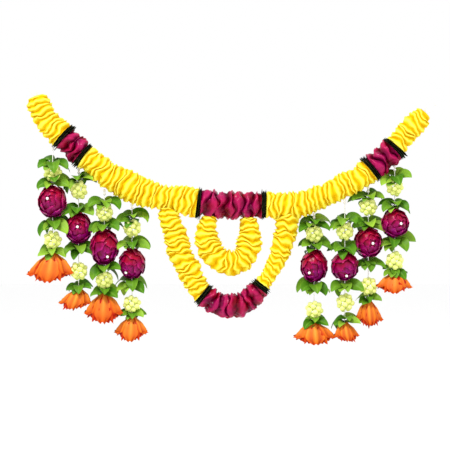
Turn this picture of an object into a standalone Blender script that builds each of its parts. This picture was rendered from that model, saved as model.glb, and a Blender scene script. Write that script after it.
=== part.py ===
"""A toran, the festive hanging that is strung over a doorway.

A swag of gathered cloth frills hangs between two nails. Two frilled loops hang under its middle, one
inside the other, and four strands of leaf sprays, rose balls and bell flowers hang under each side.
It hangs in the XZ plane: X runs to the right, Y into the wall and Z up. The origin is midway
between the two nails. Lengths in the tables are millimetres, and MM turns them into metres.
"""

import math
from collections import namedtuple

import bmesh
import bpy
from mathutils import Vector, noise
from mathutils.bvhtree import BVHTree

MM = 0.001
GAP = 0.3 * MM  # clear space left between pieces that rest on each other

# A route's points, and the radius of the frills there.
Row = namedtuple("Row", "x z radius")

SWAG = [
    Row(-437, 10, 25),
    Row(-430, -8, 28),
    Row(-416, -37, 28),
    Row(-396, -61, 29),
    Row(-375, -80, 31),
    Row(-356, -98, 29),
    Row(-331, -121, 31),
    Row(-319, -130, 29),
    Row(-285, -159, 29),
    Row(-253, -178, 33),
    Row(-208, -199, 34),
    Row(-166, -213, 30),
    Row(-130, -218, 32),
    Row(-87, -225, 34),
    Row(-74, -228, 30),
    Row(-2, -232, 32),
    Row(71, -232, 30),
    Row(100, -233, 31),
    Row(140, -233, 31),
    Row(174, -223, 29),
    Row(207, -210, 27),
    Row(247, -190, 29),
    Row(285, -171, 27),
    Row(309, -152, 31),
    Row(335, -130, 31),
    Row(362, -105, 28),
    Row(375, -88, 26),
    Row(401, -57, 27),
    Row(430, -27, 21),
]
LARGE_LOOP = [
    Row(-143, -236, 24),
    Row(-138, -267, 25),
    Row(-127, -294, 27),
    Row(-116, -339, 28),
    Row(-93, -381, 28),
    Row(-73, -420, 26),
    Row(-64, -430, 24),
    Row(-54, -438, 26),
    Row(-33, -451, 27),
    Row(-4, -457, 27),
    Row(23, -451, 27),
    Row(42, -438, 26),
    Row(57, -422, 24),
    Row(68, -408, 21),
    Row(78, -394, 18),
    Row(91, -372, 19),
    Row(106, -342, 22),
    Row(117, -304, 26),
    Row(122, -268, 27),
    Row(121, -236, 25),
]
SMALL_LOOP = [
    Row(-47, -236, 16),
    Row(-52, -264, 19),
    Row(-57, -292, 26),
    Row(-51, -325, 29),
    Row(-32, -350, 29),
    Row(-6, -360, 29),
    Row(21, -352, 29),
    Row(36, -330, 29),
    Row(39, -302, 28),
    Row(37, -270, 20),
    Row(35, -236, 16),
]

# Cloth that is gathered on the core thread. pitch is the length of one frill along the thread, and depth
# the share of the radius between a frill's crest and the groove beside it.
Cloth = namedtuple("Cloth", "pitch depth lean")
YELLOW = Cloth(pitch=16, depth=0.13, lean=2.2)
MAGENTA = Cloth(pitch=13, depth=0.17, lean=1.6)
DARK = Cloth(pitch=8, depth=0.12, lean=0.6)
SIDES = 12
LEANS_ROUND = 3  # waves of a frill's crest in one turn
LUMP = 0.10  # unevenness of the bunched cloth, as a share of the radius
LUMP_LONG = 32

# The pieces threaded along each route, and the place on the route where each one ends.
Piece = namedtuple("Piece", "name cloth end_x end_z")
SWAG_PIECES = [
    Piece("yellow_end_left", YELLOW, -379, -77),
    Piece("dark_band_outer_left", DARK, -371, -84),
    Piece("magenta_left", MAGENTA, -335, -117),
    Piece("dark_band_inner_left", DARK, -327, -124),
    Piece("yellow_swag_left", YELLOW, -78, -227),
    Piece("dark_band_centre_left", DARK, -69, -229),
    Piece("magenta_centre", MAGENTA, 66, -232),
    Piece("dark_band_centre_right", DARK, 76, -232),
    Piece("yellow_swag_right", YELLOW, 305, -155),
    Piece("dark_band_inner_right", DARK, 313, -147),
    Piece("magenta_right", MAGENTA, 358, -109),
    Piece("dark_band_outer_right", DARK, 365, -101),
    Piece("yellow_end_right", YELLOW, 430, -27),
]
LARGE_LOOP_PIECES = [
    Piece("large_loop_yellow_left", YELLOW, -66, -426),
    Piece("large_loop_dark_left", DARK, -58, -434),
    Piece("large_loop_magenta", MAGENTA, 62, -418),
    Piece("large_loop_dark_right", DARK, 69, -409),
    Piece("large_loop_yellow_right", YELLOW, 122, -236),
]
SMALL_LOOP_PIECES = [Piece("small_loop_yellow", YELLOW, 25, -236)]
SEAT_CLEAR = 1.0  # added to the swag's crests where the loops' tops are hollowed to sit under it
SEAT_STEP = 15
FREE_END = 16  # length over which the swag's ends round off
FREE_END_SHARE = 0.62

# The thread loops that the two nails go through.
NAIL_LOOP_LONG = 30
NAIL_LOOP_WIDE = 17
NAIL_LOOP_THREAD = 2.6
NAIL_LOOP_POINTS = 12

# The strands, with the height of each thing on them. Roses have a half width and half height. A bell has
# the height of its neck, its length, its half width at the petals' tips, and how far its mouth hangs
# to one side. The turns, in degrees, point the first of a whorl's three leaves, and -90 is out to the room.
STRAND_FIELDS = "side x y upper rose rose_wide rose_tall lower bell bell_tall bell_wide bell_aside turns"
Strand = namedtuple("Strand", STRAND_FIELDS)
Turns = namedtuple("Turns", "top rose low bell")
STRANDS = [
    Strand("left_1", -399, -4, -159, -224, 32, 36, -309, -336, 76, 52, -10, Turns(-90, -90, -90, -90)),
    Strand("left_2", -342, 4, -198, -283, 30, 34, -379, -417, 53, 37, -16, Turns(-105, -90, -90, -90)),
    Strand("left_3", -284, -4, -249, -325, 32, 40, -398, -425, 78, 44, -2, Turns(-90, -100, -90, -90)),
    Strand("left_4", -223, 4, -283, -362, 30, 34, -453, -479, 60, 38, -3, Turns(-90, -90, -90, -90)),
    Strand("right_1", 183, 4, -295, -367, 30, 37, -465, -492, 56, 48, 3, Turns(-90, -90, -90, -90)),
    Strand("right_2", 251, -4, -290, -367, 31, 32, -449, -492, 49, 29, 8, Turns(-115, -75, -90, -90)),
    Strand("right_3", 304, 4, -236, -315, 32, 34, -413, -443, 67, 31, 4, Turns(-90, -90, -90, -90)),
    Strand("right_4", 362, -4, -191, -272, 31, 32, -356, -381, 51, 41, -4, Turns(-90, -90, -116, -90)),
]

THREAD_RADIUS = 1.4
THREAD_SIDES = 5
PEARL_RADIUS = 3.0
PEARLS_ON_TOP = 2
HUB_RADIUS = 4.5  # middle of a whorl, where the thread goes through it
BERRY_BALL = 20  # radius of a bunch of berries
BERRY_RADIUS = 6.5
BERRY_COUNT = 14
LEAF_THICK = 1.2
LEAF_CUPPED = 0.12  # rise of a leaf's edges over its midrib, as a share of its width
LEAVES_IN_WHORL = 3
GOLDEN_ANGLE = math.radians(137.508)

# A whorl of leaves: length and width of a leaf, its rise at the thread and how far its tip bends down.
Whorl = namedtuple("Whorl", "length width rise droop")
TOP_WHORL = Whorl(length=42, width=27, rise=12, droop=38)
ROSE_WHORL = Whorl(length=42, width=28, rise=14, droop=34)
LOW_WHORL = Whorl(length=41, width=27, rise=-4, droop=44)
BELL_WHORL = Whorl(length=33, width=21, rise=2, droop=34)
LEAF_ROLL = 40  # how far a leaf that points aside turns its face to the room, in degrees
FRONT_DROOP = 30  # how much further a leaf that points into the room bends down, in degrees

ROSE_PETALS = 5
ROSE_TIERS = 3
ROSE_CREASE = 0.11
ROSE_SEAT = 5  # radius of the flat spots where the thread passes through the ball

BELL_PETALS = 5
BELL_THICK = 1.5
BELL_THROAT = 6
BELL_DEEPEST = 32  # a bell spreads less towards the wall than along it
BELL_SIDE_LIFT = 0.28  # how much less the petals that point aside hang down, as a share of its length
BELL_TIP = 0.14  # how far a petal's tip reaches past the bell's mean mouth, as a share of its half width

# Colours from the photograph, as linear RGB, and how rough each cloth is.
Finish = namedtuple("Finish", "colour roughness")
FINISHES = {
    "yellow_cloth": Finish((0.95, 0.78, 0.02), 0.75),
    "magenta_cloth": Finish((0.36, 0.004, 0.08), 0.5),
    "dark_cloth": Finish((0.012, 0.022, 0.008), 0.6),
    "white_thread": Finish((0.85, 0.84, 0.8), 0.6),
    "leaf": Finish((0.10, 0.33, 0.03), 0.45),
    "rose_cloth": Finish((0.30, 0.003, 0.06), 0.4),
    "orange_cloth": Finish((0.95, 0.22, 0.01), 0.5),
}


class Route:
    """A smooth line through a table's rows, measured along its length."""

    STEPS = 40

    def __init__(self, rows):
        rows = [rows[0], *rows, rows[-1]]
        self.places, self.radii, self.lengths = [], [], [0.0]
        for a, b, c, d in zip(rows, rows[1:], rows[2:], rows[3:]):
            for step in range(self.STEPS):
                t = step / self.STEPS
                x = self.between(a.x, b.x, c.x, d.x, t)
                z = self.between(a.z, b.z, c.z, d.z, t)
                self.places.append(Vector((x, 0, z)) * MM)
                self.radii.append(((1 - t) * b.radius + t * c.radius) * MM)
        self.places.append(Vector((rows[-1].x, 0, rows[-1].z)) * MM)
        self.radii.append(rows[-1].radius * MM)
        for before, after in zip(self.places, self.places[1:]):
            self.lengths.append(self.lengths[-1] + (after - before).length)

    @staticmethod
    def between(a, b, c, d, t):
        """The Catmull-Rom value at t between b and c."""
        square = 2 * a - 5 * b + 4 * c - d
        cube = 3 * b - a - 3 * c + d
        return 0.5 * (2 * b + (c - a) * t + square * t**2 + cube * t**3)

    def station(self, x, z):
        """The length along the route at the point nearest to (x, z), in millimetres."""
        goal = Vector((x, 0, z)) * MM
        nearest = min(range(len(self.places)), key=lambda i: (self.places[i] - goal).length)
        return self.lengths[nearest]

    def at(self, along):
        """The place, direction and radius at a length along the route."""
        along = min(max(along, 0.0), self.lengths[-1])
        i = next(i for i in range(1, len(self.lengths)) if self.lengths[i] >= along - 1e-9)
        share = (along - self.lengths[i - 1]) / (self.lengths[i] - self.lengths[i - 1])
        place = self.places[i - 1].lerp(self.places[i], share)
        low, high = max(i - 3, 0), min(i + 2, len(self.places) - 1)
        direction = (self.places[high] - self.places[low]).normalized()
        return place, direction, self.radii[i - 1] + share * (self.radii[i] - self.radii[i - 1])


def clear_scene():
    for obj in list(bpy.data.objects):
        bpy.data.objects.remove(obj)


def collection(name, hidden=False):
    """A collection in the scene. A hidden one holds cutters and other helpers."""
    found = bpy.data.collections.get(name)
    if found is None:
        found = bpy.data.collections.new(name)
        bpy.context.scene.collection.children.link(found)
        found.hide_render = hidden
    return found


def material(name):
    found = bpy.data.materials.get(name)
    if found is None:
        found = bpy.data.materials.new(name)
        found.use_nodes = True
        shader = found.node_tree.nodes["Principled BSDF"]
        shader.inputs["Base Color"].default_value = (*FINISHES[name].colour, 1)
        shader.inputs["Roughness"].default_value = FINISHES[name].roughness
        shader.inputs["Metallic"].default_value = 0
    return found


def add_part(name, data, finish):
    """Puts a mesh or curve in the toran's collection with its material."""
    obj = bpy.data.objects.new(name, data)
    collection("toran").objects.link(obj)
    data.materials.append(material(finish))
    return obj


def add_helper(name, data, group):
    """Puts a mesh in a hidden collection: it only shapes other pieces."""
    obj = bpy.data.objects.new(name, data)
    collection(group, hidden=True).objects.link(obj)
    obj.hide_render = True
    obj.display_type = "WIRE"
    return obj


def loft(name, rings, cap=True):
    """A mesh that runs through rings of equally many points, closed at both ends if cap is set."""
    bm = bmesh.new()
    rows = [[bm.verts.new(point) for point in ring] for ring in rings]
    count = len(rows[0])
    for near, far in zip(rows, rows[1:]):
        for i in range(count):
            j = (i + 1) % count
            bm.faces.new((near[i], near[j], far[j], far[i]))
    if cap:
        bm.faces.new(rows[0])
        bm.faces.new(rows[-1])
    bmesh.ops.recalc_face_normals(bm, faces=bm.faces)
    mesh = bpy.data.meshes.new(name)
    bm.to_mesh(mesh)
    bm.free()
    return mesh


def round_mesh(mesh, angle=35):
    mesh.shade_smooth()
    mesh.set_sharp_from_angle(angle=math.radians(angle))
    return mesh


def ring_round(route, along, sides, radius_at, lean_at):
    """Points round the route, square to it. Angle 0 points up or left, and a quarter turn to the wall."""
    place, direction, _ = route.at(along)
    across = Vector((-direction.z, 0, direction.x))
    points = []
    for i in range(sides):
        angle = 2 * math.pi * i / sides
        outward = across * math.cos(angle) + Vector((0, 1, 0)) * math.sin(angle)
        points.append(place + outward * radius_at(angle) + direction * lean_at(angle))
    return points


def free_end_share(route, along):
    """How much of its radius the swag keeps near its two ends, where the frills round off."""
    from_end = min(along, route.lengths[-1] - along)
    share = min(1.0, from_end / (FREE_END * MM))
    return FREE_END_SHARE + (1 - FREE_END_SHARE) * math.sqrt(1 - (1 - share) ** 2)


def bunched(along, angle, radius):
    """The radius of the cloth's crests at a place, which is uneven where the cloth bunches up."""
    spot = Vector((along / (LUMP_LONG * MM), 1.3 * math.cos(angle), 1.3 * math.sin(angle)))
    return radius * (1 + LUMP * noise.noise(spot))


def frilled_mesh(name, route, start, end, cloth, rounds_off):
    """The solid of one length of gathered cloth: crests and grooves square to the thread, uneven as hung."""
    frills = max(1, round((end - start) / (cloth.pitch * MM)))
    rings = []
    for i in range(2 * frills + 1):
        along = start + (end - start) * i / (2 * frills)
        crest = i % 2 == 1
        inset = {0: GAP / 2, 2 * frills: -GAP / 2}.get(i, 0.0)
        _, _, radius = route.at(along)
        if rounds_off:
            radius *= free_end_share(route, along)
        if not crest:
            radius *= 1 - cloth.depth

        def radius_at(angle, along=along, radius=radius):
            return bunched(along, angle, radius)

        def lean_at(angle, i=i, crest=crest, inset=inset):
            return cloth.lean * MM * math.sin(LEANS_ROUND * angle + 1.7 * i) if crest else inset

        rings.append(ring_round(route, along, SIDES, radius_at, lean_at))
    return round_mesh(loft(name, rings), 60)


def thread_pieces(route, pieces, start=0.0, rounds_off=False):
    """Makes the lengths of cloth that are threaded one after the other along a route."""
    finishes = {YELLOW: "yellow_cloth", MAGENTA: "magenta_cloth", DARK: "dark_cloth"}
    made = []
    for piece in pieces:
        end = route.station(piece.end_x, piece.end_z)
        mesh = frilled_mesh(piece.name, route, start, end, piece.cloth, rounds_off)
        made.append(add_part(piece.name, mesh, finishes[piece.cloth]))
        start = end
    return made


def seat_under_swag(part, route):
    """Hollows the top of a hanging loop so that it sits under the swag, a little clear of it."""
    cutter = bpy.data.objects.get("swag_cutter")
    if cutter is None:
        rings = []
        for step in range(int(route.lengths[-1] / (SEAT_STEP * MM)) + 1):
            along = step * SEAT_STEP * MM
            radius = route.at(along)[2]

            def clear_of(angle, along=along, radius=radius):
                return bunched(along, angle, radius) + SEAT_CLEAR * MM

            rings.append(ring_round(route, along, SIDES, clear_of, lambda _: 0.0))
        cutter = add_helper("swag_cutter", loft("swag_cutter", rings), "cutters")
    cut = part.modifiers.new("seat", "BOOLEAN")
    cut.operation = "DIFFERENCE"
    cut.solver = "EXACT"
    cut.object = cutter


def make_nail_loop(name, route, at_start):
    """A closed loop of thread past one end of the swag, flat so that a nail in the wall goes through it."""
    place, direction, _ = route.at(0.0 if at_start else route.lengths[-1])
    outward = -direction if at_start else direction
    across = Vector((-outward.z, 0, outward.x))
    centre = place + outward * (NAIL_LOOP_LONG / 2 + NAIL_LOOP_THREAD / 2) * MM + outward * 2 * GAP
    curve = bpy.data.curves.new(name, "CURVE")
    curve.dimensions = "3D"
    spline = curve.splines.new("POLY")
    spline.points.add(NAIL_LOOP_POINTS - 1)
    for i, point in enumerate(spline.points):
        angle = 2 * math.pi * i / NAIL_LOOP_POINTS
        narrower = 1 - 0.25 * (1 - math.cos(angle)) / 2
        offset = outward * math.cos(angle) * NAIL_LOOP_LONG / 2
        offset += across * math.sin(angle) * narrower * NAIL_LOOP_WIDE / 2
        point.co = (*(centre + offset * MM), 1)
    spline.use_cyclic_u = True
    curve.bevel_depth = NAIL_LOOP_THREAD / 2 * MM
    curve.bevel_resolution = 1
    return add_part(name, curve, "white_thread")


def underside(trees, x, y):
    """The lowest height of the swag over a thread at (x, y), measured over the thread's own width."""
    lowest = math.inf
    for side in range(THREAD_SIDES + 1):
        angle = 2 * math.pi * side / THREAD_SIDES
        reach = 0 if side == THREAD_SIDES else (THREAD_RADIUS + 0.3) * MM
        foot = Vector((x * MM + reach * math.cos(angle), y * MM + reach * math.sin(angle), -1.0))
        for tree in trees:
            hit = tree.ray_cast(foot, Vector((0, 0, 1)))[0]
            if hit is not None:
                lowest = min(lowest, hit.z)
    return lowest


def turned(name, profile, steps):
    """A mesh object's data with a profile, outer side from top to bottom, and the Screw that turns it."""
    mesh = bpy.data.meshes.new(name)
    mesh.from_pydata([(r, 0, z) for r, z in profile], [(i, i + 1) for i in range(len(profile) - 1)], [])

    def add_screw(obj):
        screw = obj.modifiers.new("turn", "SCREW")
        screw.steps = screw.render_steps = steps
        screw.use_merge_vertices = True
        screw.merge_threshold = 0.00005
        screw.use_normal_calculate = True
        return obj

    return mesh, add_screw


def thread_profile(top, bottom, pearls):
    """The outline of a length of thread with pearls strung on it and flat ends."""
    thread = THREAD_RADIUS * MM
    pearl = PEARL_RADIUS * MM
    points = [(0, top), (thread, top)]
    for height in sorted(pearls, reverse=True):
        points += [(thread, height + pearl), (pearl, height), (thread, height - pearl)]
    return [*points, (thread, bottom), (0, bottom)]


def leaf_line(whorl, azimuth, size, share):
    """The place of a leaf's midrib at a share of its length from the thread, as it runs out and droops."""
    length = whorl.length * size * MM
    droop = whorl.droop + FRONT_DROOP * max(0.0, -math.sin(azimuth))
    run_out = fall = 0.0
    steps = 8
    for step in range(steps):
        tilt = math.radians(whorl.rise - (whorl.rise + droop) * share * (step + 0.5) / steps)
        run_out += length * share / steps * math.cos(tilt)
        fall += length * share / steps * math.sin(tilt)
    return Vector((math.cos(azimuth) * run_out, math.sin(azimuth) * run_out, fall))


def whorl_mesh(name, whorl, turn):
    """Three pointed leaves cut as one star of cloth, as an open surface with its middle on the thread."""
    bm = bmesh.new()
    middle = bm.verts.new((0, 0, 0))
    step = 2 * math.pi / LEAVES_IN_WHORL
    first = math.radians(turn)
    valleys = []
    for i in range(LEAVES_IN_WHORL):
        angle = first + step * (i - 0.5)
        valleys.append(bm.verts.new(Vector((math.cos(angle), math.sin(angle), 0)) * HUB_RADIUS * MM))
    for i in range(LEAVES_IN_WHORL):
        azimuth = first + step * i
        size = 1 - 0.10 * math.sin(2.3 * i + turn)
        roll = math.radians(LEAF_ROLL) * math.cos(azimuth)
        across = Vector((-math.sin(azimuth), math.cos(azimuth), 0)) * math.cos(roll)
        across = (across + Vector((0, 0, math.sin(roll)))) * whorl.width * size * MM / 2
        lift = Vector((0, 0, whorl.width * LEAF_CUPPED * MM))
        rib = leaf_line(whorl, azimuth, size, 0.5)
        right, mid, left = (bm.verts.new(p) for p in (rib - across + lift, rib, rib + across + lift))
        tip = bm.verts.new(leaf_line(whorl, azimuth, size, 1.0))
        before, after = valleys[i], valleys[(i + 1) % LEAVES_IN_WHORL]
        bm.faces.new((middle, before, right, mid))
        bm.faces.new((middle, mid, left, after))
        bm.faces.new((right, tip, mid))
        bm.faces.new((mid, tip, left))
    bmesh.ops.recalc_face_normals(bm, faces=bm.faces)
    mesh = bpy.data.meshes.new(name)
    bm.to_mesh(mesh)
    bm.free()
    return mesh


def add_whorl(group, strand, height, whorl, turn):
    """A star of leaves with the thread through its middle."""
    leaves = add_helper(f"{group}_leaves", whorl_mesh(f"{group}_leaves", whorl, turn), group)
    leaves.location = Vector((strand.x, strand.y, height)) * MM
    thicken = leaves.modifiers.new("cloth", "SOLIDIFY")
    thicken.thickness = LEAF_THICK * MM
    thicken.offset = 0


def berry_places():
    """Directions of the berries in a bunch, spread evenly over a ball."""
    places = []
    for i in range(BERRY_COUNT):
        z = 1 - (2 * i + 1) / BERRY_COUNT
        ring = math.sqrt(1 - z * z)
        places.append(Vector((ring * math.cos(i * GOLDEN_ANGLE), ring * math.sin(i * GOLDEN_ANGLE), z)))
    return places


def bunch_radius(direction, places):
    """How far a bunch of berries reaches in a direction: to the outside of the berry that lies there."""
    reach = (BERRY_BALL - BERRY_RADIUS) * MM
    best = reach * 0.9
    for place in places:
        along = direction.dot(place) * reach
        inside = (BERRY_RADIUS * MM) ** 2 - (reach**2 - along**2)
        if inside > 0 and along > 0:
            best = max(best, along + math.sqrt(inside))
    return best


def add_bunch(group, strand, height, turn):
    """A bunch of round berries pressed together, as one lumpy ball on the thread."""
    bm = bmesh.new()
    bmesh.ops.create_uvsphere(bm, u_segments=9, v_segments=6, radius=1)
    places = berry_places()
    for vert in bm.verts:
        direction = vert.co.normalized()
        vert.co = direction * bunch_radius(direction, places)
    mesh = bpy.data.meshes.new(group + "_bunch")
    bm.to_mesh(mesh)
    bm.free()
    bunch = add_helper(mesh.name, mesh, group)
    bunch.location = Vector((strand.x, strand.y, height)) * MM
    bunch.rotation_euler.z = math.radians(turn)


def make_spray(name, strand, top, bottom, pearls, bunch, whorls):
    """A spray: a thread with pearls, one bunch of berries and two whorls of leaves, all bound together."""
    mesh, add_screw = turned(name, thread_profile(top, bottom, pearls), THREAD_SIDES)
    spray = add_screw(add_part(name, mesh, "leaf"))
    spray.location = Vector((strand.x, strand.y, 0)) * MM
    add_bunch(name, strand, bunch, strand.turns.low)
    for height, whorl, turn in whorls:
        add_whorl(name, strand, height, whorl, turn)
    union = spray.modifiers.new("bind", "BOOLEAN")
    union.operation = "UNION"
    union.solver = "EXACT"
    union.operand_type = "COLLECTION"
    union.collection = collection(name)
    return spray


def make_rose(name, strand):
    """A ball of cupped petals in overlapping tiers, with flat spots where the thread goes in and out."""
    columns, rows = 3 * ROSE_PETALS, 2 * ROSE_TIERS + 1
    first = math.asin(ROSE_SEAT / strand.rose_wide)
    rings = []
    for row in range(rows + 1):
        polar = first + (math.pi - 2 * first) * row / rows
        ends = row in (0, rows)
        under = 0.0 if ends else float(row % 2)
        ring = []
        for column in range(columns):
            angle = 2 * math.pi * (column + 1.5 * (row // 2)) / columns + math.radians(strand.turns.rose)
            crease = 0.0 if ends or column % 3 else 1.0
            share = 1 - ROSE_CREASE * (0.6 * under + crease) / 1.6
            flat = Vector((math.cos(angle), math.sin(angle), 0)) * math.sin(polar) * strand.rose_wide * share
            ring.append((flat + Vector((0, 0, math.cos(polar) * strand.rose_tall))) * MM)
        rings.append(ring)
    rose = add_part(name, round_mesh(loft(name, rings), 50), "rose_cloth")
    rose.location = Vector((strand.x, strand.y, strand.rose)) * MM
    return math.cos(first) * strand.rose_tall * MM


def make_bell(name, strand):
    """A bell flower: a thin cloth trumpet whose pointed petals flare at the mouth, open below."""
    profile = [(0.0, 0.0), (0.14, 0.30), (0.32, 0.62), (0.64, 0.88), (1.0, 1.0)]  # drop and flare
    columns = 2 * BELL_PETALS
    mean = strand.bell_wide / (1 + BELL_TIP)
    deep = min(mean, BELL_DEEPEST)
    rings = []
    for drop, flare in profile:
        ring = []
        for column in range(columns):
            tip = 1 - 2 * (column % 2)
            reach = flare * (1 + BELL_TIP * tip * flare)
            angle = 2 * math.pi * column / columns + math.radians(strand.turns.bell)
            lifted = BELL_SIDE_LIFT * math.cos(angle) ** 2
            fall = drop * (1 - flare * (0.10 * (1 - tip) + lifted))
            wide = BELL_THROAT + (mean - BELL_THROAT) * reach
            depth = BELL_THROAT + (deep - BELL_THROAT) * reach
            aside = strand.bell_aside * drop**1.5
            beside = math.cos(angle) * wide + aside
            place = Vector((beside, math.sin(angle) * depth, -fall * strand.bell_tall))
            ring.append(place * MM)
        rings.append(ring)
    mesh = loft(name, rings, cap=False)
    bm = bmesh.new()
    bm.from_mesh(mesh)
    bm.verts.ensure_lookup_table()
    neck = bm.faces.new([bm.verts[i] for i in range(columns)])
    bmesh.ops.recalc_face_normals(bm, faces=bm.faces)
    if neck.normal.z < 0:
        bmesh.ops.reverse_faces(bm, faces=bm.faces)
    bm.to_mesh(mesh)
    bm.free()
    bell = add_part(name, round_mesh(mesh, 50), "orange_cloth")
    bell.location = Vector((strand.x, strand.y, strand.bell)) * MM
    thicken = bell.modifiers.new("cloth", "SOLIDIFY")
    thicken.thickness = BELL_THICK * MM
    thicken.offset = -1


def make_strand(strand, trees):
    """One strand from the swag down: spray, rose ball, spray and bell flower."""
    name = "strand_" + strand.side
    half = make_rose(name + "_rose", strand)
    top = underside(trees, strand.x, strand.y) - GAP
    above, below = strand.rose * MM + half + GAP, strand.rose * MM - half - GAP
    pearls = [top - (PEARL_RADIUS + 0.5 + 2.1 * PEARL_RADIUS * i) * MM for i in range(PEARLS_ON_TOP)]
    upper = [
        (strand.upper + BERRY_BALL + 3, TOP_WHORL, strand.turns.top),
        (above / MM + 7, ROSE_WHORL, strand.turns.rose),
    ]
    make_spray(name + "_upper_spray", strand, top, above, pearls, strand.upper, upper)
    lower = [
        (below / MM - 5, LOW_WHORL, strand.turns.low),
        (strand.bell + 6, BELL_WHORL, strand.turns.bell),
    ]
    pearls = [below - 12 * MM]
    make_spray(name + "_lower_spray", strand, below, strand.bell * MM + GAP, pearls, strand.lower, lower)
    make_bell(name + "_bell", strand)


def surfaces(parts):
    """Search trees of the finished swag, for hanging the strands under it."""
    trees = []
    for part in parts:
        places = [vertex.co for vertex in part.data.vertices]
        trees.append(BVHTree.FromPolygons(places, [tuple(face.vertices) for face in part.data.polygons]))
    return trees


def main():
    clear_scene()
    swag, large, small = Route(SWAG), Route(LARGE_LOOP), Route(SMALL_LOOP)
    swag_parts = thread_pieces(swag, SWAG_PIECES, rounds_off=True)
    large_parts = thread_pieces(large, LARGE_LOOP_PIECES)
    small_parts = thread_pieces(small, SMALL_LOOP_PIECES)
    for part in (large_parts[0], large_parts[-1], small_parts[0]):
        seat_under_swag(part, swag)
    make_nail_loop("nail_loop_left", swag, at_start=True)
    make_nail_loop("nail_loop_right", swag, at_start=False)
    trees = surfaces(swag_parts)
    for strand in STRANDS:
        make_strand(strand, trees)


main()
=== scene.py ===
"""How the toran door hanging looks: gathered cloth, satin roses, berries, leaves and bell flowers.

Each length of frills is one strip of cloth that winds round its thread. The leaves, berries, petals
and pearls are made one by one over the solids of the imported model. Tables are in millimetres.
"""

import logging
import math
from dataclasses import dataclass
from enum import Enum
from typing import Sequence

import bpy
import numpy as np
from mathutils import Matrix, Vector


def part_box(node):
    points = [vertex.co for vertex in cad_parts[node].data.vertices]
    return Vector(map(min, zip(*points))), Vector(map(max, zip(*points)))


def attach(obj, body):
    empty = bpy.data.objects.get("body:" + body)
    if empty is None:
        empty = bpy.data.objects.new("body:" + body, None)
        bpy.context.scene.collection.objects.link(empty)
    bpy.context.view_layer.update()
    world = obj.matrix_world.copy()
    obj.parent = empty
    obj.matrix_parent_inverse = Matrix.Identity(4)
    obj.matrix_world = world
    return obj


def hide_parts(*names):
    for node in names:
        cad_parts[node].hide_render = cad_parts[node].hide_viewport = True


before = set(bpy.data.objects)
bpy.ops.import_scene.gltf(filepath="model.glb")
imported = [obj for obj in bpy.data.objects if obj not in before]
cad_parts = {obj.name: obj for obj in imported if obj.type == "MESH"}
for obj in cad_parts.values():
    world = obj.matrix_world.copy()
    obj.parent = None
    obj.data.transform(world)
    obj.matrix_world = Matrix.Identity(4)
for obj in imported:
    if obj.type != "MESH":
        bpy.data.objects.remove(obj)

LOG = logging.getLogger("toran")
MM = 0.001
Array = np.ndarray
Colour = tuple[float, float, float]


class Mark(Enum):
    """Numbers kept at each point of a mesh, which its finish reads."""

    UNSHADED = "crest"  # painted shade: 1 where cloth stands out, 0 deep in a fold
    TONE = "tone"  # a slow change of colour by piece and place, which on a bell is a painted highlight
    EDGE = "edge"  # painted highlight: 1 at free edges of petals and leaves, frill rims, midribs and bell tops


class Socket:
    """A shader value that arithmetic can be written with."""

    def __init__(self, tree: bpy.types.NodeTree, socket: bpy.types.NodeSocket) -> None:
        """Wraps a socket.

        Args:
            tree: The node tree that holds it.
            socket: An output socket with one number.
        """
        self.tree = tree
        self.socket = socket

    def math(self, operation: str, *values: "Socket | float", first: bool = True) -> "Socket":
        """Adds one Math node.

        Args:
            operation: The Math node's operation.
            values: The other operands.
            first: Whether this value is the first operand.

        Returns:
            The result.
        """
        node = self.tree.nodes.new("ShaderNodeMath")
        node.operation = operation
        operands = (self, *values) if first else (*values, self)
        for place, value in zip(node.inputs, operands):
            if isinstance(value, Socket):
                self.tree.links.new(value.socket, place)
            else:
                place.default_value = value
        return Socket(self.tree, node.outputs[0])

    def __add__(self, other: "Socket | float") -> "Socket":
        """The sum."""
        return self.math("ADD", other)

    def __radd__(self, other: float) -> "Socket":
        """The sum, with the number first."""
        return self.math("ADD", other)

    def __sub__(self, other: "Socket | float") -> "Socket":
        """The difference."""
        return self.math("SUBTRACT", other)

    def __rsub__(self, other: float) -> "Socket":
        """The difference, with the number first."""
        return self.math("SUBTRACT", other, first=False)

    def __mul__(self, other: "Socket | float") -> "Socket":
        """The product."""
        return self.math("MULTIPLY", other)

    def __rmul__(self, other: float) -> "Socket":
        """The product, with the number first."""
        return self.math("MULTIPLY", other)

    def clamped(self) -> "Socket":
        """This value, kept from 0 to 1."""
        return self.math("MINIMUM", 1.0).math("MAXIMUM", 0.0)


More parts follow.
